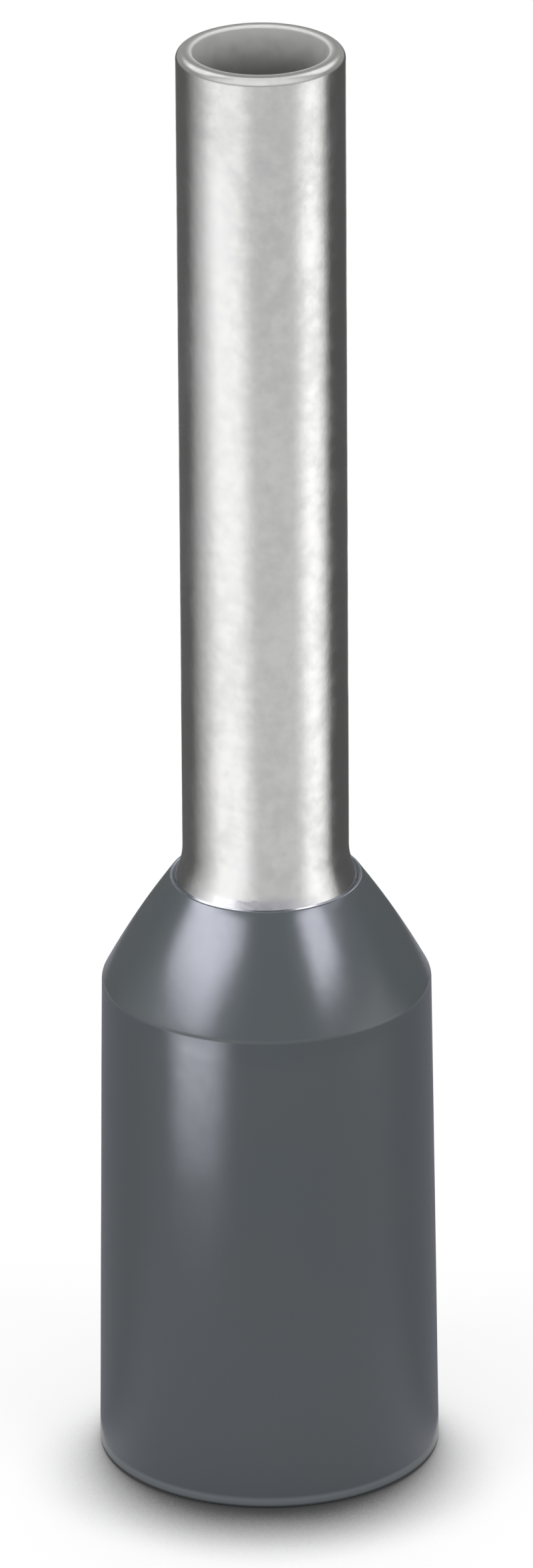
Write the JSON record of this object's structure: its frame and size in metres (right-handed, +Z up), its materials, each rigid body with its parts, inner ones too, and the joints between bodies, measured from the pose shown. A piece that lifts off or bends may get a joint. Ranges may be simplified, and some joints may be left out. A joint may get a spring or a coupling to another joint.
{
  "type": "insulated wire ferrule",
  "caption": "Thin tinned tube with a flared end held in a tapered moulded collar, crimped onto stranded wire.",
  "frame": {"origin": "centre of the collar's open rim, on the surface that the ferrule stands on", "axes": "+Z up the axis, from the collar's open rim to the sleeve's cut rim"},
  "size_m": [0.0032, 0.0032, 0.014],
  "materials": {
    "tinned_metal": "satin",
    "grey_plastic": "satin"
  },
  "bodies": {
    "root": {"metal_sleeve": "tinned_metal", "plastic_collar": "grey_plastic"}
  },
  "joints": []
}
